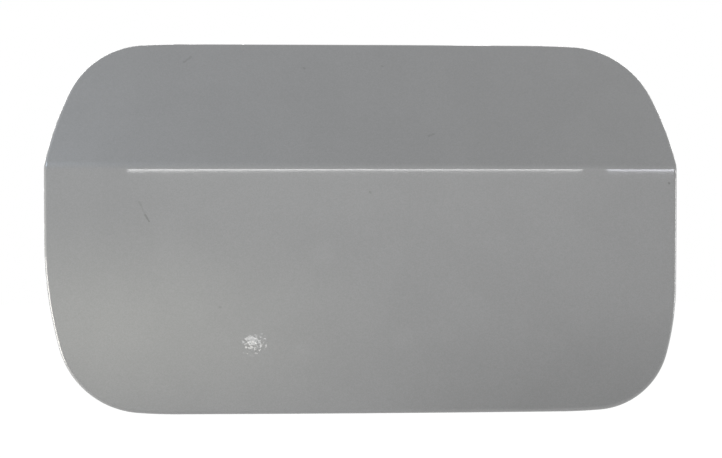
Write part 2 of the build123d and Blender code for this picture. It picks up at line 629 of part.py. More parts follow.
def cap_holder():
    """Foot with two lipped rails and a stop below, in which the filler cap's grip hangs."""
    foot = fillet(Rectangle(HOLDER_WIDTH, HOLDER_HEIGHT).vertices(), HOLDER_CORNER)
    holder = inward(Pos(HOLDER_X, DECK_Z) * foot, DECK, HOLDER_BASE)
    holder = fillet(holder.faces().sort_by(Axis.Y)[-1].edges(), HOLDER_ROUND)
    top = DECK + HOLDER_BASE + RAIL_RISE
    half = RAIL_SLOT / 2
    profile = Pos(HOLDER_X, (DECK + top) / 2) * Rectangle(RAIL_SLOT + 2 * RAIL_WALL, top - DECK)
    floor = DECK + HOLDER_BASE
    profile -= Pos(HOLDER_X, (floor + top - RAIL_LIP) / 2) * Rectangle(RAIL_SLOT, top - RAIL_LIP - floor)
    profile -= Pos(HOLDER_X, top) * Rectangle(RAIL_MOUTH, 2 * RAIL_RISE - 2 * RAIL_LIP)
    bottom = DECK_Z - HOLDER_HEIGHT / 2
    holder += Pos(0, 0, bottom) * extrude(profile, HOLDER_HEIGHT)
    stop = Pos(HOLDER_X, (floor + top) / 2, bottom + RAIL_WALL / 2)
    holder += stop * Box(RAIL_SLOT + RAIL_WALL, RAIL_RISE, RAIL_WALL)
    lips = holder.edges().filter_by(Axis.Y).group_by(Axis.Z)[-1]
    lips = lips.filter_by(lambda edge: abs(abs(edge.center().X - HOLDER_X) - RAIL_MOUTH / 2) < 0.01)
    holder = chamfer(lips, (half - RAIL_MOUTH / 2) * 0.8)
    rails = holder.edges().filter_by(Axis.Z)
    rails = rails.filter_by(lambda edge: abs(edge.center().Y - top) < 0.01)
    rails = rails.filter_by(lambda edge: abs(edge.center().X - HOLDER_X) > half)
    holder = fillet(rails, RAIL_WALL / 2)
    for x, z in holder_screw_places():
        holder -= across(x, z, HOLDER_SCREW_HOLE, 0, DECK + HOLDER_BASE + SHEET)
    return holder


def holder_screw(x, z):
    """Pan-head tapping screw with a cross recess."""
    seat = DECK + HOLDER_BASE + SEAT_GAP
    head = seat + HOLDER_SCREW_HEAD
    shoulder = HOLDER_SCREW_HEAD_RADIUS * 0.75
    points = [(0, HOLDER_SCREW_END - HOLDER_SCREW_RADIUS), (HOLDER_SCREW_RADIUS, HOLDER_SCREW_END)]
    points += [(HOLDER_SCREW_RADIUS, seat), (HOLDER_SCREW_HEAD_RADIUS, seat)]
    points += [(HOLDER_SCREW_HEAD_RADIUS, seat + HOLDER_SCREW_HEAD * 0.5), (shoulder, head), (0, head)]
    screw = rearward(points, x, 0, z)
    cross = Rectangle(CROSS_LENGTH, CROSS_WIDTH) + Rectangle(CROSS_WIDTH, CROSS_LENGTH)
    return screw - inward(Pos(x, z) * cross, head - CROSS_DEPTH, 2 * CROSS_DEPTH)


def save(name, solids):
    """Write one node, moved so that the middle of the bolt pattern is the origin."""
    shape = Pos(*[-value for value in MOUNT]) * Compound(children=solids)
    export_step(shape, f"parts/{name}.step")


os.makedirs("parts", exist_ok=True)
save("outer_panel", [outer_panel()])
save("inner_panel", [inner_panel()])
save("hinge_leaf", [hinge_leaf()])
save("clinch_nuts", [clinch_nut(x, z) for x, z in leaf_screw_places()])
save("hinge_screws", [hinge_screw(x, z) for x, z in leaf_screw_places()])
save("upper_bush", [bush(1)])
save("lower_bush", [bush(-1)])
save("lock_catch", [lock_catch()])
save("catch_rivets", [catch_rivet(x, z) for x, z in rivet_places()])
save("upper_buffer", [buffer(1)])
save("lower_buffer", [buffer(-1)])
save("cap_holder", [cap_holder()])
save("holder_screws", [holder_screw(x, z) for x, z in holder_screw_places()])
save("hinge_bracket", [hinge_bracket()])
save("hinge_pin", [hinge_pin()])
save("pin_washer", [pin_washer()])
save("pin_clip", [pin_clip()])
save("over_centre_spring", [over_centre_spring()])
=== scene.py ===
import json
from math import asin, cos, pi, radians, sin, sqrt, tan

import bmesh
import bpy
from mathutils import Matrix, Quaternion, Vector


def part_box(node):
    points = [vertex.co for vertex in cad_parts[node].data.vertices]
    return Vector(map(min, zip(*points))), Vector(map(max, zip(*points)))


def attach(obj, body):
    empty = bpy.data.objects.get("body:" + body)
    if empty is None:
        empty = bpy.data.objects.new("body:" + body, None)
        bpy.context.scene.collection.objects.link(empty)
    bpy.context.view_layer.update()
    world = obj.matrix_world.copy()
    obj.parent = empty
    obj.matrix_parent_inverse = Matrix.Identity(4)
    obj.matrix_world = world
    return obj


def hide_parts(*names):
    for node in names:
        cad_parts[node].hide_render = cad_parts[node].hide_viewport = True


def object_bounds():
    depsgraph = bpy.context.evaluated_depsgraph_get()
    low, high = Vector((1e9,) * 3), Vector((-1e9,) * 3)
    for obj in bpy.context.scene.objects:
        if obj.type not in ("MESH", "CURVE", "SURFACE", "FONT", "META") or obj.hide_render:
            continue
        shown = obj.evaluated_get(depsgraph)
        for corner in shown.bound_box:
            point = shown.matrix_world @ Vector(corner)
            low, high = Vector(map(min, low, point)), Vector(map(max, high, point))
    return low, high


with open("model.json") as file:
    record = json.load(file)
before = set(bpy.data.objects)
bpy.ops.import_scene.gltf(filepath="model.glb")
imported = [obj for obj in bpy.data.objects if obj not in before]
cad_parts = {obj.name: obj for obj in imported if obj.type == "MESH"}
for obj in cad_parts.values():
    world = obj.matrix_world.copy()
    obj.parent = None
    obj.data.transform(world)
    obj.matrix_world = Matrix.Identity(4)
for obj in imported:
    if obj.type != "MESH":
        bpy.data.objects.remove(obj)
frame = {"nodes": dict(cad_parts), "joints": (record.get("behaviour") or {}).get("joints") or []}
cad_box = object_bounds()

# A silver car fuel door with its hinge, in metres: x runs right and z up as seen from outside
# the car, and the painted outside faces -y. Lamps, the camera and a few other places are written
# in millimetres from mid width, the crown of the lower face and the crease of the door.
MM = 0.001
HINGE_AXIS = Vector(frame["joints"][0]["pos_m"])

# Form of the painted skin, in millimetres and degrees: three arcs one above the other, a long one
# for the lower face, a tight one for the crease and one for the leaning upper face, all turned
# about an upright axis far behind the door, and the hem with its rolled edges
UPPER_HEIGHT = 42.3
LOWER_HEIGHT = 78.7
UPPER_LEAN = 36.0
LOWER_CROWN = 1600.0
CREASE_RADIUS = 5.0
UPPER_CROWN = 700.0
PLAN_CROWN = 3000.0
HEM_THICK = 2.5
HEM_ROLL = 1.4
HEM_BACK_ROLL = 0.7

# How the skin's faces are told apart: how far in millimetres the front may lie off its arcs, how
# squarely the hem's back looks backwards, and how far outwards a face of the rim looks
SKIN_GAP = 0.03
HEM_FLAT = 0.99
RIM_FACING = 5 * MM

# Camera, matched to the outline of the door in the photo, whose frame is this many pixels
PHOTO_WIDTH = 722
PHOTO_HEIGHT = 458
SENSOR_WIDTH = 36.0
FOCAL_PIXELS = 953.0
CAMERA_PLACE = (-10.2, -298.0, -11.0)
CAMERA_YAW = 0.0312
CAMERA_PITCH = -0.0308
CAMERA_ROLL = -0.0006
NEAR_CLIP = 10 * MM

# Lamps: place and size in millimetres, how bright their face is, and its tint
LAMP_TARGET = (0.0, 0.0, -20.0)
WHITE = (1.0, 1.0, 1.0)
COOL = (0.84, 1.0, 1.2)
PALE_BLUE = (0.97, 0.98, 1.08)
WARM = (1.03, 1.0, 0.94)
LAMPS = {
    "crease_strip": ((18.5, -900.0, 100.0), (667.0, 64.0), 9.6, WHITE),
    "crease_strip_end": ((449.0, -900.0, 100.7), (108.0, 64.0), 10.8, PALE_BLUE),
    "upper_left_lamp": ((-539.0, -311.0, 416.0), (280.0, 280.0), 5.6, COOL),
    "left_side_lamp": ((-737.0, -130.0, -225.0), (300.0, 290.0), 11.0, WARM),
    "right_edge_card": ((640.0, -60.0, -60.0), (140.0, 170.0), 9.0, WHITE),
    "bulb_low_left": ((-75.5, -354.0, -118.1), (5.0, 4.2), 5.4, WARM),
    "bulb_low": ((-71.1, -354.0, -118.7), (5.8, 4.8), 6.5, WARM),
    "bulb_left": ((-76.2, -354.0, -115.0), (4.2, 6.4), 5.4, WHITE),
    "bulb_middle": ((-71.9, -354.0, -115.6), (5.4, 4.0), 7.4, WHITE),
    "bulb_right": ((-67.4, -354.0, -116.2), (4.2, 6.6), 5.4, WHITE),
    "bulb_top": ((-71.5, -354.0, -112.2), (7.2, 3.4), 4.9, WHITE),
    "rear_left_lamp": ((-320.0, 820.0, 80.0), (420.0, 420.0), 4.0, WHITE),
    "rear_right_lamp": ((340.0, 820.0, 240.0), (420.0, 420.0), 3.0, WHITE),
}

# Lamps with an oval face, the turn of a lamp about its own axis in radians, and how much of its box
# an oval fills
ROUND_LAMPS = ("bulb_low_left", "bulb_low", "bulb_left", "bulb_middle", "bulb_right", "bulb_top")
LAMP_ROLL = {"crease_strip_end": -0.0355}
OVAL_SHARE = pi / 4

# How much the white tent lights, where 1 is as bright as the camera sees it
TENT_GLOW = 0.46

# Card in front of the door that shows only in reflections: it glows softly at the left and is dark
# at the low right. Places and reaches in millimetres along x and z.
CARD_DISTANCE = 1000.0
CARD_SIDES = (-1000.0, 1000.0)
CARD_ENDS = (-374.0, 60.0)
GLOW_MIDDLE = (-380.0, -200.0)
GLOW_REACH = (540.0, 230.0)
GLOW_FACE = 1.4
GLOW_COLOUR = (1.0, 1.0, 0.85, 1)
SHADE_MIDDLE = (400.0, -380.0)
SHADE_REACH = (480.0, 260.0)

# Floor: how far it lies below the door, half its side, its colour and how white it shows
FLOOR_DROP = 300 * MM
FLOOR_HALF = 3.0
FLOOR_COLOUR = (0.5, 0.5, 0.5, 1)
FLOOR_GLOW = 0.8

# Marks on the paint: ends of scratches and places of specks in photo pixels, widths and how dark
# they are, and how far a speck runs each way in photo pixels
SCRATCHES = (
    ((139, 202), (141, 205), 0.5 * MM, 0.18),
    ((141, 205), (145, 215), 0.35 * MM, 0.12),
    ((145, 215), (149, 221), 0.5 * MM, 0.4),
    ((184, 62), (191, 57), 0.7 * MM, 0.2),
    ((429, 136), (434, 134), 0.6 * MM, 0.2),
)
SPECKS = (
    ((370, 192), 0.6 * MM, 0.25),
    ((669, 183), 0.6 * MM, 0.45),
    ((304, 68), 0.6 * MM, 0.2),
    ((382, 66), 0.6 * MM, 0.2),
    ((220, 307), 0.6 * MM, 0.16),
)
SPECK_RUN = 0.5

# Faint reflections painted into the paint's colour as paler patches: middle in photo pixels, reach and how
# much paler
PAINTED_REFLECTIONS = (
    ((323, 254), 6 * MM, 0.055),
    ((303, 352), 6 * MM, 0.05),
    ((403, 339), 6 * MM, 0.045),
)

# Sealer bead along the inner edge of the hem: its form, how uneven it is, how many lumps it has in
# a metre and the seed that places them
BEAD_WIDTH = 4.6 * MM
BEAD_HEIGHT = 2.2 * MM
BEAD_SINK = 0.75 * MM
BEAD_SHIFT = 0.9 * MM
BEAD_STEP = 1.2 * MM
BEAD_SIDES = 14
BEAD_UNEVENNESS = 0.5
BEAD_LUMPS = 90.0
BEAD_SEED = 4.0

# How the hem's inner edge is found: points this close are one, its back and its wall meet at a
# corner, and the back looks backwards while the wall looks sideways
MERGE_GAP = 0.01 * MM
HEM_CORNER = 0.8
BACK_FACING = 0.5
WALL_FACING = 0.3

# Orange peel of the clear coat: how wide and deep its waves are, and the distances from the crease
# at which it starts and is full
PEEL_SIZE = 1 * MM
PEEL_DEPTH = 0.01 * MM
CREASE_FLOW = (2 * MM, 7 * MM)

# Size of the fine wave in a rippled film against the coarse one
FINE_WAVE = 0.35

# Dust: how far up a face looks where it starts to settle and where it lies full, the range of noise
# that makes its patches, and the least share of it in each
DUST_TILT = (-0.1, 0.9)
TILT_LEAST = 0.25
DUST_PATCHES = (0.35, 0.75)
PATCH_LEAST = 0.15

# Scratches and specks: size of their breaks, least share of the width and softness of the edge
MARK_BREAKS = 1.2 * MM
MARK_LEAST = 0.1
MARK_SOFT = 0.1 * MM

# Grease by the pivot: size of its lumps, least share of its reach and how its edge fades
GREASE_LUMPS = 4 * MM
GREASE_LEAST = 0.5
GREASE_FADE = (-1.2 * MM, 0.8 * MM)

# Tone, roughness and coat of the finishes, from where their mask is 0 to where it is 1, and how much
# rougher dust and smoother wear make them
HAZE_TONE = (0.985, 1.015)
INNER_ROUGH = (0.48, 0.6)
INNER_COAT = (0.6, 0.25)
ZINC_ROUGH = (0.3, 0.46)
PIN_ROUGH = (0.2, 0.4)
SPRING_ROUGH = (0.42, 0.3)
RIVET_ROUGH = (0.3, 0.5)
DUST_ROUGHER = 0.4
WORN_SMOOTHER = 0.1

# How much of the colour under it each cover hides where it is thickest
ZINC_STAINED = 0.6
ZINC_GREASED = 0.55
PIN_GREASED = 0.5
SPRING_OILED = 0.7
NYLON_GREASED = 0.6
NYLON_YELLOWED = 0.25

# Times that the pin's turning lines are squeezed along each axis, and rays that ease an edge
PIN_SQUEEZE = (1.0, 1.0, 12.0)
EDGE_SAMPLES = 6

# Colours, linear
PAINT = (0.24, 0.24, 0.238, 1)
PAINT_DIRT = (0.05, 0.048, 0.044, 1)
ZINC = (0.5, 0.5, 0.48, 1)
ZINC_STAIN = (0.33, 0.325, 0.3, 1)
PIN_STEEL = (0.55, 0.55, 0.55, 1)
SPRING_STEEL = (0.16, 0.16, 0.17, 1)
SPRING_OIL = (0.07, 0.055, 0.04, 1)
ALUMINIUM = (0.6, 0.6, 0.6, 1)
NYLON = (0.6, 0.57, 0.47, 1)
PLASTIC = (0.02, 0.02, 0.02, 1)
RUBBER = (0.015, 0.015, 0.015, 1)
DUST = (0.3, 0.28, 0.25, 1)
GREASE = (0.03, 0.025, 0.02, 1)

# Mid width, lower crown and crease of the door
PANEL_LOW, PANEL_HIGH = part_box("outer_panel")
DOOR_MIDDLE = Vector(((PANEL_LOW.x + PANEL_HIGH.x) / 2, PANEL_LOW.y, PANEL_HIGH.z - UPPER_HEIGHT * MM))


def door_point(x, y, z):
    """Row-frame place of a point in millimetres from mid width, lower crown and crease."""
    return DOOR_MIDDLE + Vector((x, y, z)) * MM


def add_object(name, data):
    """New object in the scene."""
    made = bpy.data.objects.new(name, data)
    bpy.context.scene.collection.objects.link(made)
    return made


# Nodes: small helpers that place a node and link or set its inputs


def feed(tree, socket, value):
    """Link an input to another socket, or set its value."""
    if isinstance(value, bpy.types.NodeSocket):
        tree.links.new(value, socket)
    else:
        socket.default_value = value


def place(tree, kind, inputs=None, **settings):
    """Add a node with its settings and inputs, which are keyed by name or number."""
    made = tree.nodes.new(kind)
    for name, value in settings.items():
        setattr(made, name, value)
    for key, value in (inputs or {}).items():
        feed(tree, made.inputs[key], value)
    return made


def maths(tree, operation, *values, clamp=False):
    """Result of one step of arithmetic on values or sockets."""
    made = place(tree, "ShaderNodeMath", dict(enumerate(values)), operation=operation, use_clamp=clamp)
    return made.outputs[0]


def vector_maths(tree, operation, *values, output=0):
    """Result of one step of arithmetic on vectors."""
    made = place(tree, "ShaderNodeVectorMath", dict(enumerate(values)), operation=operation)
    return made.outputs[output]


def blended(tree, share, first, second):
    """Colour between two colours."""
    return place(tree, "ShaderNodeMix", {0: share, 6: first, 7: second}, data_type="RGBA").outputs[2]


def between(tree, share, low, high):
    """Value between two values."""
    return maths(tree, "MULTIPLY_ADD", share, high - low, low)


def ranged(tree, value, low, high, to_low=0.0, to_high=1.0):
    """Value carried smoothly from one range to another."""
    inputs = {"Value": value, "From Min": low, "From Max": high, "To Min": to_low, "To Max": to_high}
    return place(tree, "ShaderNodeMapRange", inputs, interpolation_type="SMOOTHSTEP").outputs[0]


def object_place(tree):
    """Place on the piece in metres."""
    return place(tree, "ShaderNodeTexCoord").outputs["Object"]


def noise(tree, size, detail=2.0, where=None):
    """Noise whose features are about that size in metres."""
    per_metre = maths(tree, "DIVIDE", 1.0, size)
    where = where or object_place(tree)
    inputs = {"Vector": where, "Scale": per_metre, "Detail": detail, "Roughness": 0.5}
    return place(tree, "ShaderNodeTexNoise", inputs).outputs[0]


def new_group(name, inputs, output):
    """Empty shader group with float or vector inputs and one value that it puts out."""
    tree = bpy.data.node_groups.new(name, "ShaderNodeTree")
    for label, default in inputs.items():
        kind = "NodeSocketFloat" if isinstance(default, float) else "NodeSocketVector"
        tree.interface.new_socket(label, in_out="INPUT", socket_type=kind).default_value = default
    tree.interface.new_socket(output, in_out="OUTPUT", socket_type="NodeSocketFloat")
    return tree, tree.nodes.new("NodeGroupInput").outputs, tree.nodes.new("NodeGroupOutput").inputs


def make_speckle():
    """Random light and dark grains round 1, as metal flake or plating crystals."""
    tree, given, result = new_group("speckle", {"Size": 0.2 * MM, "Contrast": 0.1}, "Factor")
    per_metre = maths(tree, "DIVIDE", 1.0, given["Size"])
    grains = place(tree, "ShaderNodeTexVoronoi", {"Vector": object_place(tree), "Scale": per_metre})
    shade = place(tree, "ShaderNodeSeparateColor", {0: grains.outputs["Color"]}).outputs[0]
    swing = maths(tree, "MULTIPLY", maths(tree, "SUBTRACT", shade, 0.5), given["Contrast"])
    feed(tree, result["Factor"], maths(tree, "ADD", swing, 1.0))
    return tree


def make_ripple():
    """Height of a rippled film such as sprayed paint or cast skin, a coarse and a fine wave."""
    tree, given, result = new_group("ripple", {"Size": 2 * MM, "Fine Share": 0.3}, "Height")
    coarse = noise(tree, given["Size"], detail=0.0)
    fine = noise(tree, maths(tree, "MULTIPLY", given["Size"], FINE_WAVE), detail=0.0)
    feed(tree, result["Height"], maths(tree, "MULTIPLY_ADD", fine, given["Fine Share"], coarse))
    return tree


def make_cloud():
    """Soft blotches from 0 to 1."""
    tree, given, result = new_group("cloud", {"Size": 20 * MM, "Low": 0.4, "High": 0.65}, "Mask")
    blotches = noise(tree, given["Size"], detail=4.0)
    feed(tree, result["Mask"], ranged(tree, blotches, given["Low"], given["High"]))
    return tree


def make_settled_dust():
    """Dust on what faces up, patchy, and a little of it everywhere."""
    tree, given, result = new_group("settled dust", {"Amount": 0.4, "Size": 6 * MM}, "Mask")
    normal = place(tree, "ShaderNodeNewGeometry").outputs["Normal"]
    up = place(tree, "ShaderNodeSeparateXYZ", {0: normal}).outputs["Z"]
    facing = ranged(tree, up, *DUST_TILT, TILT_LEAST, 1.0)
    patch = ranged(tree, noise(tree, given["Size"], detail=5.0), *DUST_PATCHES, PATCH_LEAST, 1.0)
    cover = maths(tree, "MULTIPLY", facing, patch)
    feed(tree, result["Mask"], maths(tree, "MULTIPLY", cover, given["Amount"]))
    return tree


def make_line_mark():
    """Thin broken mark from one point to another."""
    inputs = {"Start": (0.0, 0.0, 0.0), "End": (0.0, 0.0, 0.0), "Width": 0.4 * MM}
    tree, given, result = new_group("line mark", inputs, "Mask")
    where = object_place(tree)
    run = vector_maths(tree, "SUBTRACT", given["End"], given["Start"])
    away = vector_maths(tree, "SUBTRACT", where, given["Start"])
    length = vector_maths(tree, "DOT_PRODUCT", run, run, output="Value")
    reached = vector_maths(tree, "DOT_PRODUCT", away, run, output="Value")
    along = maths(tree, "DIVIDE", reached, length, clamp=True)
    scaled = place(tree, "ShaderNodeVectorMath", {0: run, "Scale": along}, operation="SCALE").outputs[0]
    gap = vector_maths(tree, "LENGTH", vector_maths(tree, "SUBTRACT", away, scaled), output="Value")
    breaks = maths(tree, "ADD", noise(tree, MARK_BREAKS), MARK_LEAST)
    edge = maths(tree, "MULTIPLY", given["Width"], breaks)
    inside = maths(tree, "SUBTRACT", edge, gap)
    feed(tree, result["Mask"], ranged(tree, inside, -MARK_SOFT, MARK_SOFT))
    return tree


def make_pivot_grease():
    """Grease that has crept out round the hinge pin."""
    tree, given, result = new_group("pivot grease", {"Reach": 8 * MM}, "Mask")
    away = vector_maths(tree, "SUBTRACT", object_place(tree), tuple(HINGE_AXIS))
    flat = vector_maths(tree, "MULTIPLY", away, (1.0, 1.0, 0.0))
    gap = vector_maths(tree, "LENGTH", flat, output="Value")
    lumps = maths(tree, "ADD", noise(tree, GREASE_LUMPS, detail=3.0), GREASE_LEAST)
    edge = maths(tree, "MULTIPLY", given["Reach"], lumps)
    feed(tree, result["Mask"], ranged(tree, maths(tree, "SUBTRACT", edge, gap), *GREASE_FADE))
    return tree


GROUPS = {
    "speckle": make_speckle(),
    "ripple": make_ripple(),
    "cloud": make_cloud(),
    "settled dust": make_settled_dust(),
    "line mark": make_line_mark(),
    "pivot grease": make_pivot_grease(),
}


def effect(tree, name, **inputs):
    """Place one of the groups and give back the value that it puts out."""
    made = place(tree, "ShaderNodeGroup", node_tree=GROUPS[name])
    for key, value in inputs.items():
        feed(tree, made.inputs[key.replace("_", " ")], value)
    return made.outputs[0]


def new_material(name, **constants):
    """Material with one Principled shader, and the numbers that are the same all over it."""
    material = bpy.data.materials.new(name)
    material.use_nodes = True
    tree = material.node_tree
    tree.nodes.clear()
    shader = place(tree, "ShaderNodeBsdfPrincipled")
    for key, value in constants.items():
        shader.inputs[key.replace("_", " ")].default_value = value
    place(tree, "ShaderNodeOutputMaterial", {"Surface": shader.outputs[0]})
    return material, tree, shader.inputs


def bump(tree, height, depth, normal=None):
    """Normal of a surface that rises by depth metres where height is 1."""
    inputs = {"Height": height, "Distance": depth}
    if normal:
        inputs["Normal"] = normal
    return place(tree, "ShaderNodeBump", inputs).outputs[0]


def eased_edges(tree, radius):
    """Normal with the piece's sharp edges broken by a small radius."""
    return place(tree, "ShaderNodeBevel", {"Radius": radius}, samples=EDGE_SAMPLES).outputs[0]


def ray_from_photo(pixel):
    """Start and direction, in the row frame, of the camera's ray through a pixel of the photo."""
    camera = bpy.context.scene.camera
    across = (pixel[0] - PHOTO_WIDTH / 2) / FOCAL_PIXELS
    up = (PHOTO_HEIGHT / 2 - pixel[1]) / FOCAL_PIXELS
    way = camera.rotation_quaternion @ Vector((across, up, -1))
    return camera.location.copy(), way.normalized()


def on_skin(pixel):
    """Point of the outer panel that the photo shows at a pixel."""
    start, way = ray_from_photo(pixel)
    found, spot, _, _ = frame["nodes"]["outer_panel"].ray_cast(start, way)
    if not found:
        raise ValueError(f"the outer panel isn't at pixel {pixel}")
    return spot


# Materials


def paint_marks(tree):
    """Scratches and specks where the photo shows them."""
    marks = list(SCRATCHES)
    for spot, width, dark in SPECKS:
        marks.append((spot, (spot[0] + SPECK_RUN, spot[1] + SPECK_RUN), width, dark))
    total = 0.0
    for first, last, width, dark in marks:
        mask = effect(tree, "line mark", Start=on_skin(first), End=on_skin(last), Width=width)
        total = maths(tree, "MAXIMUM", total, maths(tree, "MULTIPLY", mask, dark))
    return total


def painted_reflection_tone(tree):
    """Factor just over 1 at the given places: faint reflections painted into the colour as paler patches.
    """
    factor = 1.0
    for pixel, reach, paler in PAINTED_REFLECTIONS:
        gap = vector_maths(tree, "DISTANCE", object_place(tree), on_skin(pixel), output="Value")
        factor = maths(tree, "ADD", factor, ranged(tree, gap, 0.0, reach, paler, 0.0))
    return factor


def outer_paint():
    """Silver metallic paint under a glossy clear coat, its orange peel drawn out at crease and rim."""
    material, tree, shader = new_material(
        "outer_paint", Metallic=0.4, Roughness=0.5, Coat_Weight=1.0, Coat_Roughness=0.03, Coat_IOR=1.5
    )
    flake = effect(tree, "speckle", Size=0.25 * MM, Contrast=0.12)
    haze = ranged(tree, effect(tree, "cloud", Size=18 * MM, Low=0.3, High=0.7), 0.0, 1.0, *HAZE_TONE)
    # The tone carries painted reflections, paler patches in the paint's colour
    tone = maths(tree, "MULTIPLY", maths(tree, "MULTIPLY", flake, haze), painted_reflection_tone(tree))
    colour = vector_maths(tree, "MULTIPLY", PAINT[:3], tone)
    feed(tree, shader["Base Color"], blended(tree, paint_marks(tree), colour, PAINT_DIRT))
    height = place(tree, "ShaderNodeSeparateXYZ", {0: object_place(tree)}).outputs["Z"]
    from_crease = maths(tree, "ABSOLUTE", maths(tree, "SUBTRACT", height, DOOR_MIDDLE.z))
    drawn_out = ranged(tree, from_crease, *CREASE_FLOW)
    open_face = place(tree, "ShaderNodeAttribute", attribute_name="open_face").outputs["Fac"]
    share = maths(tree, "MULTIPLY", drawn_out, open_face)
    waves = noise(tree, PEEL_SIZE, detail=0.0)
    peel = bump(tree, maths(tree, "MULTIPLY", waves, share), PEEL_DEPTH)
    feed(tree, shader["Normal"], peel)
    feed(tree, shader["Coat Normal"], peel)
    return material


def inner_paint(name, dust):
    """The same paint as it reaches the inside: thin, duller and dusty."""
    material, tree, shader = new_material(name, Metallic=0.35, Coat_Roughness=0.2, Coat_IOR=1.5)
    flake = effect(tree, "speckle", Size=0.3 * MM, Contrast=0.14)
    dry = effect(tree, "cloud", Size=30 * MM, Low=0.35, High=0.65)
    colour = vector_maths(tree, "MULTIPLY", PAINT[:3], flake)
    grime = effect(tree, "settled dust", Amount=dust, Size=12 * MM)
    feed(tree, shader["Base Color"], blended(tree, grime, colour, DUST))
    feed(tree, shader["Roughness"], between(tree, dry, *INNER_ROUGH))
    feed(tree, shader["Coat Weight"], between(tree, dry, *INNER_COAT))
    height = effect(tree, "ripple", Size=1.4 * MM, Fine_Share=0.6)
    feed(tree, shader["Normal"], bump(tree, height, depth=0.01 * MM))
    return material


def zinc_plate(name, stain_size):
    """Satin zinc over pressed steel: fine crystals, water stains, grease by the pivot."""
    material, tree, shader = new_material(name)
    crystals = effect(tree, "speckle", Size=0.35 * MM, Contrast=0.1)
    stain = effect(tree, "cloud", Size=stain_size, Low=0.45, High=0.75)
    colour = blended(tree, maths(tree, "MULTIPLY", stain, ZINC_STAINED), ZINC, ZINC_STAIN)
    colour = vector_maths(tree, "MULTIPLY", colour, crystals)
    grease = maths(tree, "MULTIPLY", effect(tree, "pivot grease", Reach=7.8 * MM), ZINC_GREASED)
    colour = blended(tree, grease, colour, GREASE)
    grime = effect(tree, "settled dust", Amount=0.22, Size=8 * MM)
    feed(tree, shader["Base Color"], blended(tree, grime, colour, DUST))
    feed(tree, shader["Metallic"], maths(tree, "SUBTRACT", 1.0, maths(tree, "MAXIMUM", grime, grease)))
    rough = between(tree, stain, *ZINC_ROUGH)
    feed(tree, shader["Roughness"], maths(tree, "MULTIPLY_ADD", grime, DUST_ROUGHER, rough))
    height = effect(tree, "ripple", Size=0.9 * MM, Fine_Share=0.8)
    edges = eased_edges(tree, radius=0.35 * MM)
    feed(tree, shader["Normal"], bump(tree, height, depth=0.012 * MM, normal=edges))
    return material


def pin_steel():
    """Ground steel with turning lines round the pin and a film of grease."""
    material, tree, shader = new_material("pin_steel")
    squeezed = vector_maths(tree, "MULTIPLY", object_place(tree), PIN_SQUEEZE)
    lines = noise(tree, size=2 * MM, detail=3.0, where=squeezed)
    film = effect(tree, "cloud", Size=5 * MM, Low=0.5, High=0.7)
    grease = maths(tree, "MULTIPLY", film, PIN_GREASED)
    feed(tree, shader["Base Color"], blended(tree, grease, PIN_STEEL, GREASE))
    feed(tree, shader["Metallic"], maths(tree, "SUBTRACT", 1.0, grease))
    feed(tree, shader["Roughness"], between(tree, lines, *PIN_ROUGH))
    edges = eased_edges(tree, radius=0.3 * MM)
    feed(tree, shader["Normal"], bump(tree, lines, depth=0.015 * MM, normal=edges))
    return material


def spring_steel():
    """Dark oiled spring wire and clip."""
    material, tree, shader = new_material("spring_steel", Metallic=1.0)
    oil = effect(tree, "cloud", Size=4 * MM, Low=0.4, High=0.7)
    colour = blended(tree, maths(tree, "MULTIPLY", oil, SPRING_OILED), SPRING_STEEL, SPRING_OIL)
    feed(tree, shader["Base Color"], colour)
    feed(tree, shader["Roughness"], between(tree, oil, *SPRING_ROUGH))
    height = effect(tree, "ripple", Size=0.6 * MM, Fine_Share=0.5)
    edges = eased_edges(tree, radius=0.15 * MM)
    feed(tree, shader["Normal"], bump(tree, height, depth=0.01 * MM, normal=edges))
    return material


def rivet_aluminium():
    """Plain aluminium, dulled by the setting tool."""
    material, tree, shader = new_material("rivet_aluminium", Metallic=1.0)
    dull = effect(tree, "cloud", Size=2.5 * MM, Low=0.35, High=0.65)
    grime = effect(tree, "settled dust", Amount=0.3, Size=4 * MM)
    feed(tree, shader["Base Color"], blended(tree, grime, ALUMINIUM, DUST))
    feed(tree, shader["Roughness"], between(tree, dull, *RIVET_ROUGH))
    height = effect(tree, "ripple", Size=0.7 * MM, Fine_Share=0.6)
    edges = eased_edges(tree, radius=0.3 * MM)
    feed(tree, shader["Normal"], bump(tree, height, depth=0.02 * MM, normal=edges))
    return material


def natural_nylon():
    """Waxy off-white nylon, greased at the pin."""
    material, tree, shader = new_material(
        "natural_nylon", Roughness=0.45, Subsurface_Weight=0.15, Subsurface_Scale=1 * MM
    )
    grease = maths(tree, "MULTIPLY", effect(tree, "pivot grease", Reach=4.2 * MM), NYLON_GREASED)
    yellowed = effect(tree, "cloud", Size=4 * MM, Low=0.4, High=0.7)
    colour = blended(tree, maths(tree, "MULTIPLY", yellowed, NYLON_YELLOWED), NYLON, DUST)
    feed(tree, shader["Base Color"], blended(tree, grease, colour, GREASE))
    feed(tree, shader["Normal"], eased_edges(tree, radius=0.2 * MM))
    return material


def moulded(name, colour, grain, depth, rough, dust):
    """Grained black moulding with dust on it."""
    material, tree, shader = new_material(name)
    grime = effect(tree, "settled dust", Amount=dust, Size=5 * MM)
    worn = effect(tree, "cloud", Size=9 * MM, Low=0.4, High=0.7)
    feed(tree, shader["Base Color"], blended(tree, grime, colour, DUST))
    feed(tree, shader["Roughness"], between(tree, worn, rough, rough - WORN_SMOOTHER))
    height = effect(tree, "ripple", Size=grain, Fine_Share=0.7)
    edges = eased_edges(tree, radius=0.3 * MM)
    feed(tree, shader["Normal"], bump(tree, height, depth, normal=edges))
    return material


def dress(material, *names):
    """Give CAD nodes their finish."""
    for name in names:
        slots = frame["nodes"][name].data.materials
        slots.clear()
        slots.append(material)


# Painted skin with true normals


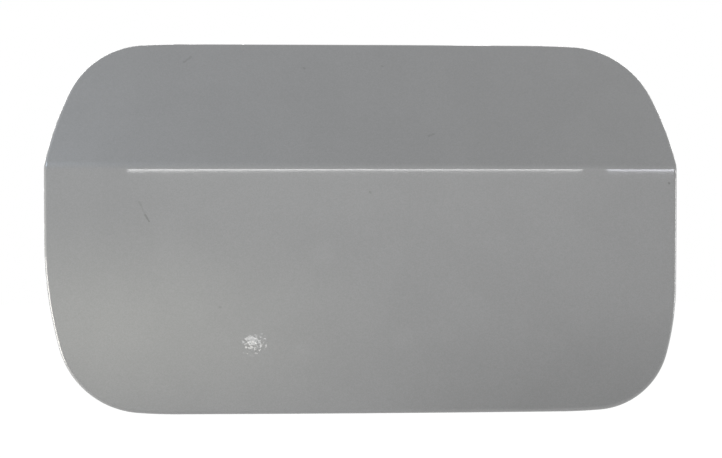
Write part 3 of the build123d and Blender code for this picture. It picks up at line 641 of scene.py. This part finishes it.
def skin_section(z):
    """Depth in millimetres and lean in radians of the skin at mid width, at a height."""
    middle = -LOWER_HEIGHT / 2
    lean = radians(UPPER_LEAN)
    start = asin((-middle - CREASE_RADIUS * tan(lean / 2)) / LOWER_CROWN)
    end = lean - UPPER_HEIGHT / cos(lean) / UPPER_CROWN / 2
    low_y, low_z = LOWER_CROWN, middle
    bend_y = low_y - (LOWER_CROWN - CREASE_RADIUS) * cos(start)
    bend_z = low_z + (LOWER_CROWN - CREASE_RADIUS) * sin(start)
    top_y = bend_y + (UPPER_CROWN - CREASE_RADIUS) * cos(end)
    top_z = bend_z - (UPPER_CROWN - CREASE_RADIUS) * sin(end)
    if z < bend_z + CREASE_RADIUS * sin(start):
        centre_y, centre_z, radius = low_y, low_z, LOWER_CROWN
    elif z < bend_z + CREASE_RADIUS * sin(end):
        centre_y, centre_z, radius = bend_y, bend_z, CREASE_RADIUS
    else:
        centre_y, centre_z, radius = top_y, top_z, UPPER_CROWN
    tilt = asin((z - centre_z) / radius)
    return centre_y - radius * cos(tilt), tilt


def skin_normal(spot):
    """Outward normal of the skin at the height and width of a point, and how far behind it is."""
    x, y, z = (spot - DOOR_MIDDLE) / MM
    depth, tilt = skin_section(z)
    radius = PLAN_CROWN - depth
    back = sqrt(radius * radius - x * x)
    return Vector((cos(tilt) * x / radius, -cos(tilt) * back / radius, sin(tilt))), y - PLAN_CROWN + back


def rim_normal(rough, true, depth):
    """Normal of the rolled rim at a depth behind the skin, from a rough one and the skin's true one."""
    across = (rough - true * rough.dot(true)).normalized()
    wall = (across - true * (across.y / true.y)).normalized()
    front = min(1 - depth / HEM_ROLL, 1)
    back = min(1 - (HEM_THICK - depth) / HEM_BACK_ROLL, 1)
    if front > true.dot(wall):
        return true * front + across * sqrt(1 - front * front)
    if back > -true.dot(wall):
        return across * sqrt(1 - back * back) - true * back
    return wall


def make_skin(outside, inside):
    """Copy of the outer panel with the true normals of its arcs in front, on the rim and behind."""
    source = frame["nodes"]["outer_panel"].data
    mesh = source.copy()
    mesh.name = "painted_skin"
    normals = [corner.vector.copy() for corner in source.corner_normals]
    open_face = mesh.attributes.new("open_face", "FLOAT", "CORNER").data
    for face in mesh.polygons:
        spread = face.center - DOOR_MIDDLE
        outward = face.normal.x * spread.x + face.normal.z * spread.z
        for loop in face.loop_indices:
            true, gap = skin_normal(mesh.vertices[mesh.loops[loop].vertex_index].co)
            if face.normal.dot(true) > 0 and abs(gap) < SKIN_GAP:
                normals[loop] = true
                open_face[loop].value = 1.0
            elif face.normal.dot(true) < -HEM_FLAT:
                normals[loop] = -true
            elif outward > RIM_FACING:
                normals[loop] = rim_normal(normals[loop], true, -gap * true.y)
    mesh.normals_split_custom_set(normals)
    mesh.materials.clear()
    mesh.materials.append(outside)
    mesh.materials.append(inside)
    for face in mesh.polygons:
        face.material_index = int(face.normal.y > 0)
    return add_object("painted_skin", mesh)


# Sealer bead along the hem


def hem_edge_mesh():
    """Line along the inner edge of the hem, with the way the hem's back faces as an attribute."""
    form = bmesh.new()
    form.from_mesh(frame["nodes"]["outer_panel"].data)
    bmesh.ops.remove_doubles(form, verts=form.verts, dist=MERGE_GAP)
    form.normal_update()
    facing = {}
    inwards = {}
    pairs = []
    for edge in form.edges:
        if len(edge.link_faces) != 2:
            continue
        back, wall = sorted(edge.link_faces, key=lambda face: -face.normal.y)
        inward = wall.normal.dot(DOOR_MIDDLE - edge.verts[0].co) > 0
        cornered = edge.is_convex and back.normal.dot(wall.normal) < HEM_CORNER
        faced = back.normal.y > BACK_FACING and abs(wall.normal.y) < WALL_FACING
        if inward and cornered and faced:
            pairs.append(edge.verts[:])
            for corner in edge.verts:
                facing[corner] = facing.get(corner, Vector()) + back.normal
                inwards[corner] = inwards.get(corner, Vector()) + wall.normal
    order = {corner: index for index, corner in enumerate(facing)}
    mesh = bpy.data.meshes.new("hem_edge")
    line = [corner.co + inwards[corner].normalized() * BEAD_SHIFT for corner in order]
    mesh.from_pydata(line, [[order[a], order[b]] for a, b in pairs], [])
    ways = mesh.attributes.new("facing", "FLOAT_VECTOR", "POINT")
    for corner, index in order.items():
        ways.data[index].vector = facing[corner].normalized()
    form.free()
    return mesh


def bead_tree(material):
    """Sweeps an uneven flat bead along a line, sunk a little into what it lies on."""
    tree = bpy.data.node_groups.new("sealer bead", "GeometryNodeTree")
    tree.interface.new_socket("Line", in_out="INPUT", socket_type="NodeSocketGeometry")
    for label in ("Width", "Height", "Sink", "Step", "Unevenness", "Lumps", "Seed"):
        tree.interface.new_socket(label, in_out="INPUT", socket_type="NodeSocketFloat")
    tree.interface.new_socket("Sides", in_out="INPUT", socket_type="NodeSocketInt")
    tree.interface.new_socket("Bead", in_out="OUTPUT", socket_type="NodeSocketGeometry")
    given = tree.nodes.new("NodeGroupInput").outputs
    facing = place(tree, "GeometryNodeInputNamedAttribute", {"Name": "facing"}, data_type="FLOAT_VECTOR")
    line = place(tree, "GeometryNodeMeshToCurve", {"Mesh": given["Line"]}).outputs[0]
    line = place(tree, "GeometryNodeResampleCurve", {"Curve": line, "Length": given["Step"]}, mode="LENGTH")
    turned = {"Curve": line.outputs[0], "Normal": facing.outputs[0]}
    line = place(tree, "GeometryNodeSetCurveNormal", turned, mode="FREE")
    ring = place(tree, "GeometryNodeCurvePrimitiveCircle", {"Resolution": given["Sides"], "Radius": 0.5})
    stretch = place(tree, "ShaderNodeCombineXYZ", {0: given["Height"], 1: given["Width"], 2: 1.0})
    sink = place(tree, "ShaderNodeCombineXYZ", {0: maths(tree, "MULTIPLY", given["Sink"], -1.0)})
    shape = {"Geometry": ring.outputs[0], "Translation": sink.outputs[0], "Scale": stretch.outputs[0]}
    profile = place(tree, "GeometryNodeTransform", shape).outputs[0]
    uneven = {"Scale": given["Lumps"], "Detail": 2.0, "W": given["Seed"]}
    lumps = place(tree, "ShaderNodeTexNoise", uneven, noise_dimensions="4D").outputs[0]
    swing = maths(tree, "MULTIPLY", maths(tree, "SUBTRACT", lumps, 0.5), given["Unevenness"])
    sweep = {"Curve": line.outputs[0], "Profile Curve": profile, "Scale": maths(tree, "ADD", swing, 1.0)}
    bead = place(tree, "GeometryNodeCurveToMesh", sweep).outputs[0]
    smooth = place(tree, "GeometryNodeSetShadeSmooth", {"Geometry": bead}).outputs[0]
    real = place(tree, "GeometryNodeRealizeInstances", {"Geometry": smooth}).outputs[0]
    dressed = place(tree, "GeometryNodeSetMaterial", {"Geometry": real, "Material": material}).outputs[0]
    place(tree, "NodeGroupOutput", {"Bead": dressed})
    return tree


def make_sealer_bead(material):
    """Brushed seam sealer that covers the hem's inner edge, painted with the panel."""
    bead = add_object("sealer_bead", hem_edge_mesh())
    tree = bead_tree(material)
    sizes = {
        "Width": BEAD_WIDTH,
        "Height": BEAD_HEIGHT,
        "Sink": BEAD_SINK,
        "Step": BEAD_STEP,
        "Unevenness": BEAD_UNEVENNESS,
        "Lumps": BEAD_LUMPS,
        "Seed": BEAD_SEED,
        "Sides": BEAD_SIDES,
    }
    modifier = bead.modifiers.new("bead", "NODES")
    modifier.node_group = tree
    for socket in tree.interface.items_tree:
        if socket.name in sizes:
            modifier[socket.identifier] = sizes[socket.name]
    swept = bead.evaluated_get(bpy.context.evaluated_depsgraph_get())
    mesh = bpy.data.meshes.new_from_object(swept)
    bead.modifiers.remove(modifier)
    bead.data = mesh
    return bead


# Camera, lamps, tent and floor


def make_camera():
    """Camera that sees the door as the photo does."""
    data = bpy.data.cameras.new("camera")
    data.sensor_width = SENSOR_WIDTH
    data.lens = FOCAL_PIXELS * SENSOR_WIDTH / PHOTO_WIDTH
    data.clip_start = NEAR_CLIP
    camera = add_object("camera", data)
    forward = (sin(CAMERA_YAW) * cos(CAMERA_PITCH), cos(CAMERA_YAW) * cos(CAMERA_PITCH), sin(CAMERA_PITCH))
    camera.rotation_mode = "QUATERNION"
    turn = Vector(forward).to_track_quat("-Z", "Y")
    camera.rotation_quaternion = turn @ Quaternion((0, 0, 1), CAMERA_ROLL)
    camera.location = door_point(*CAMERA_PLACE)
    bpy.context.scene.camera = camera


def make_lamp(name, place_mm, size_mm, face, tint):
    """Soft lamp that faces the door, not seen by the camera itself."""
    data = bpy.data.lights.new(name, "AREA")
    data.shape = "ELLIPSE" if name in ROUND_LAMPS else "RECTANGLE"
    data.size, data.size_y = size_mm[0] * MM, size_mm[1] * MM
    lit = data.size * data.size_y * (OVAL_SHARE if name in ROUND_LAMPS else 1)
    data.energy = face * pi * lit
    data.color = tint
    lamp = add_object(name, data)
    lamp.location = door_point(*place_mm)
    lamp.rotation_mode = "QUATERNION"
    turn = (door_point(*LAMP_TARGET) - lamp.location).to_track_quat("-Z", "Y")
    lamp.rotation_quaternion = turn @ Quaternion((0, 0, 1), LAMP_ROLL.get(name, 0.0))
    lamp.visible_camera = False


def background_rays(tree):
    """1 for rays that see the background itself, straight, mirrored or through glass."""
    path = place(tree, "ShaderNodeLightPath").outputs
    seen = maths(tree, "MAXIMUM", path["Is Camera Ray"], path["Is Glossy Ray"])
    return maths(tree, "MAXIMUM", seen, path["Is Transmission Ray"])


def make_tent():
    """White surround that lights softly."""
    world = bpy.data.worlds.new("white_tent")
    world.use_nodes = True
    tree = world.node_tree
    tree.nodes.clear()
    strength = between(tree, background_rays(tree), TENT_GLOW, 1.0)
    glow = place(tree, "ShaderNodeBackground", {"Color": (1, 1, 1, 1), "Strength": strength})
    place(tree, "ShaderNodeOutputWorld", {"Surface": glow.outputs[0]})
    bpy.context.scene.world = world


def make_floor():
    """White floor below the door that still takes its shadow."""
    low = cad_box[0].z - FLOOR_DROP
    corners = [(a * FLOOR_HALF, b * FLOOR_HALF, low) for a, b in ((-1, -1), (1, -1), (1, 1), (-1, 1))]
    mesh = bpy.data.meshes.new("floor")
    mesh.from_pydata(corners, [], [(0, 1, 2, 3)])
    floor = add_object("floor", mesh)
    material = bpy.data.materials.new("pale_floor")
    material.use_nodes = True
    tree = material.node_tree
    tree.nodes.clear()
    matt = place(tree, "ShaderNodeBsdfDiffuse", {"Color": FLOOR_COLOUR})
    strength = maths(tree, "MULTIPLY", background_rays(tree), FLOOR_GLOW)
    glow = place(tree, "ShaderNodeEmission", {"Strength": strength})
    both = place(tree, "ShaderNodeAddShader", {0: matt.outputs[0], 1: glow.outputs[0]})
    place(tree, "ShaderNodeOutputMaterial", {"Surface": both.outputs[0]})
    mesh.materials.append(material)


def card_patch(tree, middle, reach):
    """Soft oval on the card, 1 in its middle and 0 at its rim."""
    away = vector_maths(tree, "SUBTRACT", object_place(tree), tuple(door_point(middle[0], 0, middle[1])))
    flat = vector_maths(tree, "MULTIPLY", away, (1 / MM / reach[0], 0.0, 1 / MM / reach[1]))
    return ranged(tree, vector_maths(tree, "LENGTH", flat, output="Value"), 0.0, 1.0, 1.0, 0.0)


def make_card():
    """Clear card that adds a glow to what the paint mirrors and takes some away."""
    corners = [(CARD_SIDES[a], CARD_ENDS[b]) for a, b in ((0, 0), (0, 1), (1, 1), (1, 0))]
    mesh = bpy.data.meshes.new("mirror_card")
    mesh.from_pydata([door_point(x, -CARD_DISTANCE, z) for x, z in corners], [], [(0, 1, 2, 3)])
    card = add_object("mirror_card", mesh)
    material = bpy.data.materials.new("mirror_card")
    material.use_nodes = True
    tree = material.node_tree
    tree.nodes.clear()
    left = maths(tree, "SUBTRACT", 1.0, card_patch(tree, SHADE_MIDDLE, SHADE_REACH))
    clear = place(tree, "ShaderNodeBsdfTransparent", {"Color": left})
    strength = maths(tree, "MULTIPLY", card_patch(tree, GLOW_MIDDLE, GLOW_REACH), GLOW_FACE)
    glow = place(tree, "ShaderNodeEmission", {"Color": GLOW_COLOUR, "Strength": strength})
    both = place(tree, "ShaderNodeAddShader", {0: clear.outputs[0], 1: glow.outputs[0]})
    place(tree, "ShaderNodeOutputMaterial", {"Surface": both.outputs[0]})
    mesh.materials.append(material)
    card.visible_camera = False
    card.visible_diffuse = False
    card.visible_shadow = False


bpy.context.scene.view_settings.view_transform = "Standard"
make_camera()
make_tent()
make_floor()
make_card()
for lamp_name, values in LAMPS.items():
    make_lamp(lamp_name, *values)

skin = make_skin(outer_paint(), inner_paint("hem_paint", dust=0.12))
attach(skin, "door")
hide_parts("outer_panel")
dress(inner_paint("inner_paint", dust=0.25), "inner_panel")
dress(zinc_plate("plate_zinc", stain_size=12 * MM), "hinge_leaf", "hinge_bracket", "pin_washer")
dress(zinc_plate("screw_zinc", stain_size=4 * MM), "clinch_nuts", "hinge_screws", "holder_screws")
dress(pin_steel(), "hinge_pin")
dress(spring_steel(), "pin_clip", "over_centre_spring")
dress(rivet_aluminium(), "catch_rivets")
dress(natural_nylon(), "upper_bush", "lower_bush")
plastic = moulded("black_plastic", PLASTIC, grain=0.5 * MM, depth=0.03 * MM, rough=0.55, dust=0.1)
dress(plastic, "lock_catch", "cap_holder")
rubber = moulded("black_rubber", RUBBER, grain=0.9 * MM, depth=0.02 * MM, rough=0.75, dust=0.18)
dress(rubber, "upper_buffer", "lower_buffer")

sealer = make_sealer_bead(inner_paint("painted_sealer", dust=0.3))
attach(sealer, "door")
